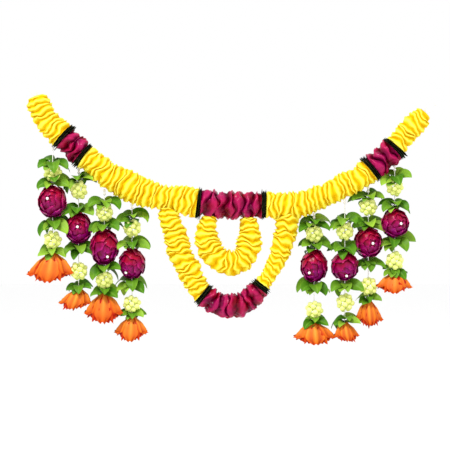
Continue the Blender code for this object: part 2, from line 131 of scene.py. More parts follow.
class Shader:
    """A material under construction."""

    MIXED_COLOUR = 2  # place of the colour among a Mix node's outputs

    def __init__(self, name: str) -> None:
        """Starts a material.

        Args:
            name: The material's name.
        """
        self.material = bpy.data.materials.new(name)
        self.material.use_nodes = True
        self.tree = self.material.node_tree
        self.surface = self.tree.nodes["Principled BSDF"]

    def node(
        self,
        kind: str,
        settings: dict[str, object],
        inputs: dict[str, object],
        output: str | int = 0,
    ) -> Socket:
        """Adds a node.

        Args:
            kind: The node's type.
            settings: Its own properties.
            inputs: Its input sockets by name, each a Socket or a constant.
            output: The output that is wanted.

        Returns:
            That output.
        """
        node = self.tree.nodes.new(kind)
        for name, value in settings.items():
            setattr(node, name, value)
        for name, value in inputs.items():
            place = next(i for i in node.inputs if i.enabled and i.name == name)
            if isinstance(value, Socket):
                self.tree.links.new(value.socket, place)
            else:
                place.default_value = value
        return Socket(self.tree, node.outputs[output])

    def mark(self, mark: Mark) -> Socket:
        """Reads a number kept at the mesh's points.

        Args:
            mark: Which number.

        Returns:
            Its value at the shaded place.
        """
        return self.node("ShaderNodeAttribute", {"attribute_name": mark.value}, {}, "Fac")

    def noise(self, scale: float, detail: float = 2.0) -> Socket:
        """Adds a noise over the object's own coordinates.

        Args:
            scale: How many features there are to a metre.
            detail: How many finer layers are added.

        Returns:
            A value of about 0.5.
        """
        place = self.node("ShaderNodeTexCoord", {}, {}, "Object")
        inputs = {"Vector": place, "Scale": scale, "Detail": detail}
        return self.node("ShaderNodeTexNoise", {}, inputs)

    def mix(self, share: Socket, first: "Socket | Colour", second: "Socket | Colour") -> Socket:
        """Mixes two colours.

        Args:
            share: 0 for the first colour, 1 for the second.
            first: A colour.
            second: A colour.

        Returns:
            The mixed colour.
        """
        inputs: dict[str, object] = {"Factor": share}
        for name, colour in (("A", first), ("B", second)):
            inputs[name] = colour if isinstance(colour, Socket) else (*colour, 1.0)
        return self.node("ShaderNodeMix", {"data_type": "RGBA"}, inputs, self.MIXED_COLOUR)

    def feed(self, name: str, value: "Socket | float | tuple[float, ...]") -> None:
        """Sets an input of the surface.

        Args:
            name: The Principled input's name.
            value: A constant, or a value that varies over the surface.
        """
        place = self.surface.inputs[name]
        if isinstance(value, Socket):
            self.tree.links.new(value.socket, place)
        else:
            place.default_value = value

    def bump(self, height: Socket, strength: float, distance: float) -> None:
        """Roughens the surface.

        Args:
            height: The relief.
            strength: How much of it shows.
            distance: Its full height, in metres.
        """
        inputs = {"Height": height, "Strength": strength, "Distance": distance}
        self.feed("Normal", self.node("ShaderNodeBump", {}, inputs))


@dataclass(frozen=True)
class Finish:
    """How one material of the hanging looks, as linear colours.

    A surface runs from deep, a painted shade in folds and hollows, to body where it stands out;
    to light, a painted highlight at free edges and other marked places; and to other with the
    tone mark.
    """

    name: str
    slot: str
    # deep is the painted shade colour, for folds, hollows and undersides.
    deep: Colour
    body: Colour
    # light is the painted highlight colour.
    light: Colour
    other: Colour
    roughness: float
    highlight_share: float = 0.5  # how far the painted highlight is mixed in
    other_share: float = 0.5  # how far the tone turns the body to other
    gloss: float = 0.12  # how much light the surface mirrors
    coat: float = 0.0
    painted_glow: float = 0.0  # painted glow: emission standing in for light that thin cloth lets through
    weave: float = 0.0  # height of the threads, in metres

    MOTTLES = 55.0  # patches of other tint to a metre
    THREADS = 900.0  # threads to a metre
    COAT_ROUGHNESS = 0.2

    def material(self) -> bpy.types.Material:
        """Makes the material.

        Returns:
            The Blender material.
        """
        shader = Shader(self.name)
        crest = shader.mark(Mark.UNSHADED)
        edge = shader.mark(Mark.EDGE)
        tone = shader.mark(Mark.TONE)
        mottle = shader.noise(self.MOTTLES) - 0.5
        body = shader.mix((tone * self.other_share + mottle * 0.5).clamped(), self.body, self.other)
        # Painted shade: the deep colour is laid where the mesh marks a fold, hollow or underside.
        folded = shader.mix((crest + mottle * 0.25).clamped(), self.deep, body)
        # Painted highlight: the light colour is laid where the mesh marks one.
        colour = shader.mix((edge * self.highlight_share).clamped(), folded, self.light)
        shader.feed("Base Color", colour)
        shader.feed("Roughness", self.roughness)
        shader.feed("Specular IOR Level", self.gloss)
        shader.feed("Coat Weight", self.coat)
        shader.feed("Coat Roughness", self.COAT_ROUGHNESS)
        # Painted glow: the surface gives off light of its own colour, as if lit from within.
        if self.painted_glow:
            shader.feed("Emission Color", colour)
            shader.feed("Emission Strength", self.painted_glow)
        if self.weave:
            shader.bump(shader.noise(self.THREADS, 1.0), 0.5, self.weave)
        return shader.material


YELLOW = Finish(
    "yellow_crepe",
    "yellow_cloth",
    deep=(0.60, 0.30, 0.0),
    body=(0.62, 0.49, 0.006),
    light=(0.90, 0.86, 0.13),
    other=(0.64, 0.41, 0.0),
    roughness=0.8,
    highlight_share=0.6,
    gloss=0.04,
    painted_glow=0.24,
    weave=0.0003,
)
MAGENTA = Finish(
    "magenta_satin",
    "magenta_cloth",
    deep=(0.045, 0.0, 0.003),
    body=(0.22, 0.0, 0.006),
    light=(0.52, 0.012, 0.11),
    other=(0.17, 0.0, 0.045),
    roughness=0.28,
    highlight_share=0.5,
    other_share=1.0,
    gloss=0.09,
    coat=0.04,
    painted_glow=0.06,
)
DARK = Finish(
    "dark_green_cloth",
    "dark_cloth",
    deep=(0.001, 0.001, 0.001),
    body=(0.004, 0.007, 0.002),
    light=(0.02, 0.035, 0.008),
    other=(0.012, 0.003, 0.003),
    roughness=0.6,
)
LEAF = Finish(
    "green_leaf",
    "leaf",
    deep=(0.012, 0.055, 0.001),
    body=(0.045, 0.17, 0.004),
    light=(0.18, 0.38, 0.03),
    other=(0.26, 0.44, 0.035),
    roughness=0.42,
    highlight_share=0.35,
    other_share=1.0,
    gloss=0.08,
)
ROSE = Finish(
    "rose_satin",
    "rose_cloth",
    deep=(0.10, 0.0, 0.008),
    body=(0.39, 0.0, 0.022),
    light=(0.58, 0.02, 0.18),
    other=(0.22, 0.0, 0.14),
    roughness=0.3,
    highlight_share=0.35,
    other_share=1.0,
    gloss=0.11,
    coat=0.06,
    painted_glow=0.08,
)
ORANGE = Finish(
    "orange_silk",
    "orange_cloth",
    deep=(0.38, 0.010, 0.0),
    body=(0.56, 0.080, 0.001),
    light=(0.82, 0.32, 0.05),
    other=(0.74, 0.23, 0.012),
    roughness=0.5,
    highlight_share=0.6,
    other_share=1.0,
    gloss=0.1,
    painted_glow=0.05,
)
BERRY = Finish(
    "pale_berry",
    "berry",
    deep=(0.55, 0.62, 0.12),
    body=(0.95, 0.94, 0.38),
    light=(0.95, 0.96, 0.62),
    other=(0.70, 0.76, 0.20),
    roughness=0.35,
    highlight_share=0.0,
    other_share=0.7,
    gloss=0.25,
    painted_glow=0.17,
)
PEARL = Finish(
    "white_pearl",
    "pearl",
    deep=(0.8, 0.76, 0.72),
    body=(0.92, 0.9, 0.87),
    light=(1.0, 0.98, 0.95),
    other=(0.9, 0.85, 0.84),
    roughness=0.2,
    gloss=0.5,
    coat=0.5,
    painted_glow=0.1,
)
THREAD = Finish(
    "white_thread",
    "white_thread",
    deep=(0.6, 0.58, 0.52),
    body=(0.86, 0.85, 0.8),
    light=(0.95, 0.94, 0.9),
    other=(0.8, 0.78, 0.7),
    roughness=0.7,
)


class Palette:
    """The hanging's materials, each made once."""

    def __init__(self) -> None:
        """Starts with none made."""
        self.made: dict[str, bpy.types.Material] = {}

    def get(self, finish: Finish) -> bpy.types.Material:
        """Finds or makes a material.

        Args:
            finish: The finish it has.

        Returns:
            The material.
        """
        if finish.name not in self.made:
            self.made[finish.name] = finish.material()
        return self.made[finish.name]


class Cloud:
    """A smooth, repeatable noise of three coordinates, as a sum of plane waves."""

    PACE = 2.4  # how fast a middling wave changes
    SLOWEST = 0.7
    FASTEST = 1.9

    def __init__(self, seed: int, waves: int = 9) -> None:
        """Draws the waves.

        Args:
            seed: Sets which noise this is.
            waves: How many waves are summed.
        """
        rng = np.random.default_rng(seed)
        ways = rng.normal(size=(waves, 3))
        pace = rng.uniform(self.SLOWEST, self.FASTEST, waves)[:, None]
        self.ways = ways / np.linalg.norm(ways, axis=1)[:, None] * pace * self.PACE
        self.starts = rng.uniform(0, 2 * math.pi, waves)

    def at(self, x: Array, y: Array, z: Array) -> Array:
        """The noise at some places.

        Args:
            x: First coordinates.
            y: Second coordinates.
            z: Third coordinates.

        Returns:
            Values from about -1 to 1.
        """
        total = np.zeros(np.broadcast(x, y, z).shape)
        for way, start in zip(self.ways, self.starts):
            total += np.sin(way[0] * x + way[1] * y + way[2] * z + start)
        return total / math.sqrt(2 * len(self.starts))

    def wound(self, along: Array, angle: Array, step: float, swing: float) -> Array:
        """The noise on cloth that winds round a thread.

        Args:
            along: Lengths along the thread, in metres.
            angle: Angles round the thread, in radians.
            step: How far along the noise changes, in millimetres.
            swing: How much it changes round the thread.

        Returns:
            Values from about -1 to 1.
        """
        return self.at(along / (step * MM), swing * np.cos(angle), swing * np.sin(angle))


class Builder:
    """Gathers patches of surface into one mesh."""

    BALL_SIDES = 14
    BALL_RINGS = 9

    def __init__(self) -> None:
        """Starts empty."""
        self.points: list[Array] = []
        self.marks: dict[Mark, list[Array]] = {mark: [] for mark in Mark}
        self.faces: list[tuple[int, ...]] = []
        self.count = 0

    def grid(
        self,
        places: Array,
        crest: Array | float,
        edge: Array | float,
        tone: Array | float,
        closed: bool = False,
    ) -> None:
        """Adds a patch that is a grid of points.

        Args:
            places: The points, rows by columns by 3, in metres.
            crest: The painted shade mark of each point: 1 where it is left unshaded, 0 darkest.
            edge: The painted highlight mark of each point.
            tone: The tone mark of each point.
            closed: Whether the last column joins the first.
        """
        rows, columns = places.shape[:2]
        start = self.count
        self.points.append(places.reshape(-1, 3))
        for mark, value in ((Mark.UNSHADED, crest), (Mark.EDGE, edge), (Mark.TONE, tone)):
            self.marks[mark].append(np.broadcast_to(value, (rows, columns)).reshape(-1))
        steps = columns if closed else columns - 1
        for row in range(rows - 1):
            for column in range(steps):
                here = start + row * columns + column
                beside = start + row * columns + (column + 1) % columns
                self.faces.append((here, beside, beside + columns, here + columns))
        self.count += rows * columns

    def ball(self, centre: Array, radius: float, tone: float) -> None:
        """Adds a small ball.

        Args:
            centre: Its centre, in metres.
            radius: Its radius, in metres.
            tone: Its tone mark.
        """
        polar = np.linspace(0.02, math.pi - 0.02, self.BALL_RINGS)[:, None]
        angle = np.linspace(0, 2 * math.pi, self.BALL_SIDES, endpoint=False)[None, :]
        up = np.cos(polar) + 0 * angle
        ring = np.sin(polar)
        places = np.stack([ring * np.cos(angle), ring * np.sin(angle), up], axis=2)
        # Painted shade: the mark runs from 1 on top to 0 underneath.
        self.grid(centre + places * radius, 0.5 + 0.5 * up, 0.0, tone, closed=True)

    def make(self, name: str, finish: Finish, palette: Palette) -> bpy.types.Object:
        """Makes the object.

        Args:
            name: The piece's name.
            finish: Its finish.
            palette: Where its material is found.

        Returns:
            The object, in the scene and riding on the toran's body.
        """
        mesh = bpy.data.meshes.new(name)
        mesh.from_pydata(np.concatenate(self.points).tolist(), [], self.faces)
        for mark, values in self.marks.items():
            layer = mesh.attributes.new(mark.value, "FLOAT", "POINT")
            layer.data.foreach_set("value", np.concatenate(values).astype(np.float32))
        mesh.shade_smooth()
        mesh.materials.append(palette.get(finish))
        obj = bpy.data.objects.new(name, mesh)
        bpy.context.scene.collection.objects.link(obj)
        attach(obj, "root")
        LOG.info("%s: %d faces", name, len(self.faces))
        return obj


@dataclass(frozen=True)
class Row:
    """A point of a route, in millimetres."""

    x: float
    z: float
    radius: float


class Route:
    """A smooth line through rows, measured along its length, in metres."""

    STEPS = 40
    STRIDE = 3  # how far before and after a place its direction is read, in millimetres

    def __init__(self, rows: Sequence[Row]) -> None:
        """Runs the line through the rows.

        Args:
            rows: The points it passes.
        """
        table = np.array([(row.x, row.z, row.radius) for row in (rows[0], *rows, rows[-1])]) * MM
        t = np.linspace(0, 1, self.STEPS, endpoint=False)[:, None]
        parts = []
        for a, b, c, d in zip(table, table[1:], table[2:], table[3:]):
            turn = (2 * a - 5 * b + 4 * c - d) * t**2 + (3 * b - a - 3 * c + d) * t**3
            part = 0.5 * (2 * b + (c - a) * t + turn)
            part[:, 2] = ((1 - t) * b[2] + t * c[2])[:, 0]
            parts.append(part)
        self.line = np.concatenate([*parts, table[-1:]])
        steps = np.linalg.norm(np.diff(self.line[:, :2], axis=0), axis=1)
        self.lengths = np.concatenate([[0.0], np.cumsum(steps)])
        self.length = float(self.lengths[-1])

    def station(self, x: float, z: float) -> float:
        """Finds a place on the line.

        Args:
            x: The place, in millimetres.
            z: The place, in millimetres.

        Returns:
            The length along the line at the nearest point.
        """
        far = np.hypot(self.line[:, 0] - x * MM, self.line[:, 1] - z * MM)
        return float(self.lengths[int(np.argmin(far))])

    def read(self, along: Array, column: int) -> Array:
        """One value of the line at some lengths.

        Args:
            along: Lengths along it. Past its ends the end's value is kept.
            column: 0 for x, 1 for z and 2 for the radius.

        Returns:
            The values, in metres.
        """
        return np.interp(along, self.lengths, self.line[:, column])

    def at(self, along: Array) -> tuple[Array, Array, Array, Array]:
        """The line at some lengths.

        Args:
            along: Lengths along it.

        Returns:
            x, z, angle in the XZ plane and radius, one of each for each length.
        """
        x, z, radius = (self.read(along, column) for column in range(3))
        ahead = np.clip(along + self.STRIDE * MM, 0, self.length)
        behind = np.clip(along - self.STRIDE * MM, 0, self.length)
        dx = self.read(ahead, 0) - self.read(behind, 0)
        dz = self.read(ahead, 1) - self.read(behind, 1)
        return x, z, np.arctan2(dz, dx), radius


SWAG = [
    Row(-437, 10, 25),
    Row(-430, -8, 28),
    Row(-416, -37, 28),
    Row(-396, -61, 29),
    Row(-375, -80, 31),
    Row(-356, -98, 29),
    Row(-331, -121, 31),
    Row(-319, -130, 29),
    Row(-285, -159, 29),
    Row(-253, -178, 33),
    Row(-208, -199, 34),
    Row(-166, -213, 30),
    Row(-130, -218, 32),
    Row(-87, -225, 34),
    Row(-74, -228, 30),
    Row(-2, -232, 32),
    Row(71, -232, 30),
    Row(100, -233, 31),
    Row(140, -233, 31),
    Row(174, -223, 29),
    Row(207, -210, 27),
    Row(247, -190, 29),
    Row(285, -171, 27),
    Row(309, -152, 31),
    Row(335, -130, 31),
    Row(362, -105, 28),
    Row(375, -88, 26),
    Row(401, -57, 27),
    Row(430, -27, 21),
]
LARGE_LOOP = [
    Row(-143, -236, 24),
    Row(-138, -267, 25),
    Row(-127, -294, 27),
    Row(-116, -339, 28),
    Row(-93, -381, 28),
    Row(-73, -420, 26),
    Row(-64, -430, 24),
    Row(-54, -438, 26),
    Row(-33, -451, 27),
    Row(-4, -457, 27),
    Row(23, -451, 27),
    Row(42, -438, 26),
    Row(57, -422, 24),
    Row(68, -408, 21),
    Row(78, -394, 18),
    Row(91, -372, 19),
    Row(106, -342, 22),
    Row(117, -304, 26),
    Row(122, -268, 27),
    Row(121, -236, 25),
]
SMALL_LOOP = [
    Row(-47, -236, 16),
    Row(-52, -264, 19),
    Row(-57, -292, 26),
    Row(-51, -325, 29),
    Row(-32, -350, 29),
    Row(-6, -360, 29),
    Row(21, -352, 29),
    Row(36, -330, 29),
    Row(39, -302, 28),
    Row(37, -270, 20),
    Row(35, -236, 16),
]


@dataclass(frozen=True)
class Gather:
    """How a strip of cloth winds on its thread, in millimetres."""

    turn: float  # length of thread for one turn, which makes one frill
    groove: float  # depth between frills, as a share of the radius
    swing: float  # how far the frills swing along the thread
    crumple: float  # height of the fine creases, as a share of the radius
    crease: float  # from one fine crease to the next
    sharp: float  # under 1 the crests are broad, over 1 they are thin
    reach: float = 1.12  # how far crests may stand out, as a share of the radius
    points: int = 72  # to a turn


CREPE = Gather(turn=11.5, groove=0.21, swing=6.5, crumple=0.040, crease=4.6, sharp=1.2)
SATIN = Gather(turn=19.0, groove=0.26, swing=7.0, crumple=0.070, crease=7.5, sharp=1.0)
CHENILLE = Gather(turn=3.6, groove=0.18, swing=3.2, crumple=0.20, crease=3.3, sharp=0.9, reach=1.24)


class Cloth(Enum):
    """The cloths of the garland, each with how it is gathered and its finish."""

    YELLOW = (CREPE, YELLOW)
    MAGENTA = (SATIN, MAGENTA)
    DARK = (CHENILLE, DARK)


LUMP = Cloud(1)
WARP = Cloud(2)
SWAY = Cloud(3)
TONES = Cloud(4)


@dataclass(frozen=True)
class Frills:
    """One length of gathered cloth on a route."""

    name: str
    cloth: Cloth
    start: float
    end: float
    route: Route
    swag: Route | None = None  # the swag that the top of this length sits under
    free_ends: bool = False

    COLUMNS = 13
    CLOSING = 2  # turns past each end, which draw the cloth in and close it
    END_ROUNDING = 16  # how far the swag's free ends round off, in millimetres
    END_RADIUS = 0.62  # of a free end, as a share of the cloth's
    STILL = 6  # how near its ends a length doesn't swing, in millimetres
    PLEATS = 15  # round a drawn-in end
    PLEAT_HEIGHT = 1.2
    PLEAT_TUCK = 2.5  # how far a drawn-in end's middle lies inside, in millimetres
    NARROWEST = 12  # strip, in millimetres

    def radius_at(self, along: Array, radius: Array) -> Array:
        """The radius, less where the swag's free ends round off.

        Args:
            along: Lengths along the route.
            radius: The route's radius there.

        Returns:
            The radius of the cloth.
        """
        if not self.free_ends:
            return radius
        left = np.minimum(along, self.route.length - along) / (self.END_ROUNDING * MM)
        arc = np.sqrt(1 - (1 - np.clip(left, 0, 1)) ** 2)
        return radius * (self.END_RADIUS + (1 - self.END_RADIUS) * arc)

    def strip(self, builder: Builder) -> float:
        """Winds the strip round its thread.

        Args:
            builder: Where it goes.

        Returns:
            The strip's width, in metres.
        """
        gather, _ = self.cloth.value
        length = self.end - self.start
        turns = max(1, round(length / (gather.turn * MM)) - 1)
        steps = (turns + 2 * self.CLOSING) * gather.points
        turned = np.linspace(-self.CLOSING, turns + self.CLOSING, steps + 1)[:, None]
        across = np.linspace(-1, 1, self.COLUMNS)[None, :]
        angle = 2 * math.pi * turned + 0 * across
        pitch = length / (turns + 1)
        base = self.start + pitch * (turned + 0.5 + 0.5 * across)
        base = np.clip(base, self.start, self.end)
        radius = self.radius_at(base, self.route.read(base, 2))

        lump = LUMP.wound(base, angle, 17, 1.1)
        fold = np.abs(across) ** (1.6 / gather.sharp) + 0 * turned
        depth = gather.groove * (1 + 0.5 * WARP.wound(base, angle, 11, 2))
        warp = WARP.wound(base, angle, 9, 3)
        crease = np.sin(2 * math.pi * base / (gather.crease * MM) + 3 * warp)
        crumple = gather.crumple * (0.7 * crease + 0.5 * SWAY.wound(base, angle, 5, 4))
        rim = radius * (1 + 0.08 * lump - depth * fold + crumple * (1 - 0.5 * fold))
        rim = np.minimum(rim, radius * gather.reach)
        sway = SWAY.wound(base, angle, 19, 1.5) + 0.22 * warp
        fade = np.minimum(base - self.start, self.end - base) / (self.STILL * MM)
        along = base + gather.swing * MM * sway * np.clip(fade, 0, 1)

        first, last = turned < 1 - self.CLOSING, turned > turns + self.CLOSING - 1
        drawn_in = np.broadcast_to(first | last, base.shape)
        inward = 0.10 + 0.38 * (1 + across)
        pleat = self.PLEAT_HEIGHT * MM * np.sin(self.PLEATS * angle + 2 * lump) * inward
        pleat = pleat + self.PLEAT_TUCK * MM * (1 - inward)
        rim = np.where(drawn_in, radius * inward, rim)
        along = along + np.where(drawn_in, pleat * np.where(first, 1, -1), 0)

        x, z, turn, _ = self.route.at(along)
        out = rim * np.cos(angle)
        places = [x - np.sin(turn) * out, rim * np.sin(angle), z + np.cos(turn) * out]
        # Painted shade: darker in the grooves between frills, in fine creases and inside drawn-in
        # ends.
        crest = np.clip(1.05 - fold**1.3 + 3 * crumple, 0, 1)
        crest = np.where(drawn_in, 0.25 + 0.55 * inward + 0.2 * np.sin(self.PLEATS * angle), crest)
        tone = np.clip(0.5 + 0.7 * TONES.wound(base, angle, 26, 1.3), 0, 1)
        # Painted highlight on the outer rim of each frill and on crease peaks.
        edge = np.clip(1 - 2.5 * fold + 2 * crumple, 0, 1)
        builder.grid(np.stack(places, axis=2), crest, edge, tone)
        return max(self.NARROWEST * MM, pitch + 2 * gather.groove * float(np.mean(radius)))

    def build(self, palette: Palette) -> bpy.types.Object:
        """Args:
            palette: Where its material is found.

        Returns:
            The piece.
        """
        _, finish = self.cloth.value
        builder = Builder()
        width = self.strip(builder)
        if self.swag is not None:
            self.drop_hidden(builder)
        obj = builder.make(self.name, finish, palette)
        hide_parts(self.name)
        area = sum(face.area for face in obj.data.polygons)
        area / width
        LOG.info("%s: strip %.3f m wide, %.2f m long", self.name, width, area / width)
        return obj

    def drop_hidden(self, builder: Builder) -> None:
        """Leaves out the faces inside the swag, which the loop's top is sewn under.

        Args:
            builder: The builder that holds the strip.
        """
        places = np.concatenate(builder.points)
        line = self.swag.line[::6]
        aside = places[:, None, 0] - line[None, :, 0]
        near = np.hypot(aside, places[:, None, 2] - line[None, :, 1])
        nearest = np.argmin(near, axis=1)
        far = np.hypot(near[np.arange(len(places)), nearest], places[:, 1])
        inside = far < line[nearest, 2] - 1 * MM
        builder.faces = [face for face in builder.faces if not any(inside[i] for i in face)]


Piece = tuple[str, Cloth, float, float]


class Garland:
    """The swag and the two loops under it.

    Each piece of a table has its name, its cloth and the place where it ends, in millimetres.
    """

    SWAG_PIECES = (
        ("yellow_end_left", Cloth.YELLOW, -379, -77),
        ("dark_band_outer_left", Cloth.DARK, -371, -84),
        ("magenta_left", Cloth.MAGENTA, -335, -117),
        ("dark_band_inner_left", Cloth.DARK, -327, -124),
        ("yellow_swag_left", Cloth.YELLOW, -78, -227),
        ("dark_band_centre_left", Cloth.DARK, -69, -229),
        ("magenta_centre", Cloth.MAGENTA, 66, -232),
        ("dark_band_centre_right", Cloth.DARK, 76, -232),
        ("yellow_swag_right", Cloth.YELLOW, 305, -155),
        ("dark_band_inner_right", Cloth.DARK, 313, -147),
        ("magenta_right", Cloth.MAGENTA, 358, -109),
        ("dark_band_outer_right", Cloth.DARK, 365, -101),
        ("yellow_end_right", Cloth.YELLOW, 430, -27),
    )
    LARGE_PIECES = (
        ("large_loop_yellow_left", Cloth.YELLOW, -66, -426),
        ("large_loop_dark_left", Cloth.DARK, -58, -434),
        ("large_loop_magenta", Cloth.MAGENTA, 62, -418),
        ("large_loop_dark_right", Cloth.DARK, 69, -409),
        ("large_loop_yellow_right", Cloth.YELLOW, 122, -236),
    )
    SMALL_PIECES = (("small_loop_yellow", Cloth.YELLOW, 25, -236),)

    def __init__(self) -> None:
        """Lays out the routes."""
        self.swag = Route(SWAG)
        self.large = Route(LARGE_LOOP)
        self.small = Route(SMALL_LOOP)

    def thread(self, route: Route, pieces: Sequence[Piece], hangs: bool) -> list[Frills]:
        """Lays lengths of cloth along a route.

        Args:
            route: The route.
            pieces: The table of its lengths.
            hangs: Whether the route hangs under the swag.

        Returns:
            The lengths.
        """
        start = 0.0
        lengths = []
        for name, cloth, x, z in pieces:
            end = route.station(x, z)
            swag = self.swag if hangs and cloth is Cloth.YELLOW else None
            lengths.append(Frills(name, cloth, start, end, route, swag, free_ends=not hangs))
            start = end
        return lengths

    def build(self, palette: Palette) -> None:
        """Makes every length of cloth.

        Args:
            palette: Where materials are found.
        """
        lengths = self.thread(self.swag, self.SWAG_PIECES, hangs=False)
        lengths += self.thread(self.large, self.LARGE_PIECES, hangs=True)
        lengths += self.thread(self.small, self.SMALL_PIECES, hangs=True)
        for length in lengths:
            length.build(palette)


@dataclass(frozen=True)
class Whorl:
    """A star of leaves round a thread: sizes in millimetres, angles in degrees."""

    length: float
    width: float
    rise: float
    droop: float


TOP_WHORL = Whorl(length=42, width=27, rise=12, droop=38)
ROSE_WHORL = Whorl(length=42, width=28, rise=14, droop=34)
LOW_WHORL = Whorl(length=41, width=27, rise=-4, droop=44)
BELL_WHORL = Whorl(length=33, width=21, rise=2, droop=34)


@dataclass(frozen=True)
class RoseSize:
    """A strand's rose ball, in millimetres."""

    z: float
    wide: float  # its radius
    tall: float  # half its height
    heart: tuple[float, float]  # which way it faces, to the right and up

    SEAT = 5  # radius of the flat where the thread comes out

    def ends(self) -> tuple[float, float]:
        """The heights of its top and bottom."""
        half = math.cos(math.asin(self.SEAT / self.wide)) * self.tall + 0.3
        return self.z + half, self.z - half


@dataclass(frozen=True)
class BellSize:
    """A strand's bell flower, in millimetres."""

    z: float  # of its neck
    tall: float
    wide: float  # from its middle to the tips of its petals
    aside: float  # how far its mouth hangs to the right of its neck


@dataclass(frozen=True)
class Strand:
    """One strand and the things on it, in millimetres and degrees."""

    side: str
    x: float
    y: float
    upper: float  # middle of the upper bunch of berries
    lower: float  # middle of the lower one
    turns: tuple[float, float, float, float]  # of the top, rose, low and bell whorls
    rose: RoseSize
    bell: BellSize

    BERRY_BALL = 20  # radius of a bunch

    @property
    def name(self) -> str:
        """The start of its pieces' names."""
        return "strand_" + self.side

    def place(self, z: float) -> Array:
        """A place on the strand's thread.

        Args:
            z: Its height, in millimetres.

        Returns:
            The place, in metres.
        """
        return np.array([self.x, self.y, z]) * MM


STRANDS = (
    Strand(
        "left_1", x=-399, y=-4, upper=-159, lower=-309, turns=(-90, -90, -90, -90),
        rose=RoseSize(-224, wide=32, tall=36, heart=(-0.25, 0.18)),
        bell=BellSize(-336, tall=76, wide=52, aside=-10),
    ),
    Strand(
        "left_2", x=-342, y=4, upper=-198, lower=-379, turns=(-105, -90, -90, -90),
        rose=RoseSize(-283, wide=30, tall=34, heart=(0.02, 0.08)),
        bell=BellSize(-417, tall=53, wide=37, aside=-16),
    ),
    Strand(
        "left_3", x=-284, y=-4, upper=-249, lower=-398, turns=(-90, -100, -90, -90),
        rose=RoseSize(-325, wide=32, tall=40, heart=(0.3, -0.55)),
        bell=BellSize(-425, tall=78, wide=44, aside=-2),
    ),
    Strand(
        "left_4", x=-223, y=4, upper=-283, lower=-453, turns=(-90, -90, -90, -90),
        rose=RoseSize(-362, wide=30, tall=34, heart=(-0.4, -0.6)),
        bell=BellSize(-479, tall=60, wide=38, aside=-3),
    ),
    Strand(
        "right_1", x=183, y=4, upper=-295, lower=-465, turns=(-90, -90, -90, -90),
        rose=RoseSize(-367, wide=30, tall=37, heart=(-0.38, -0.42)),
        bell=BellSize(-492, tall=56, wide=48, aside=3),
    ),
    Strand(
        "right_2", x=251, y=-4, upper=-290, lower=-449, turns=(-115, -75, -90, -90),
        rose=RoseSize(-367, wide=31, tall=32, heart=(0.1, -0.7)),
        bell=BellSize(-492, tall=49, wide=29, aside=8),
    ),
    Strand(
        "right_3", x=304, y=4, upper=-236, lower=-413, turns=(-90, -90, -90, -90),
        rose=RoseSize(-315, wide=32, tall=34, heart=(0.26, -0.06)),
        bell=BellSize(-443, tall=67, wide=31, aside=4),
    ),
    Strand(
        "right_4", x=362, y=-4, upper=-191, lower=-356, turns=(-90, -90, -116, -90),
        rose=RoseSize(-272, wide=31, tall=32, heart=(0.38, -0.04)),
        bell=BellSize(-381, tall=51, wide=41, aside=-4),
    ),
)


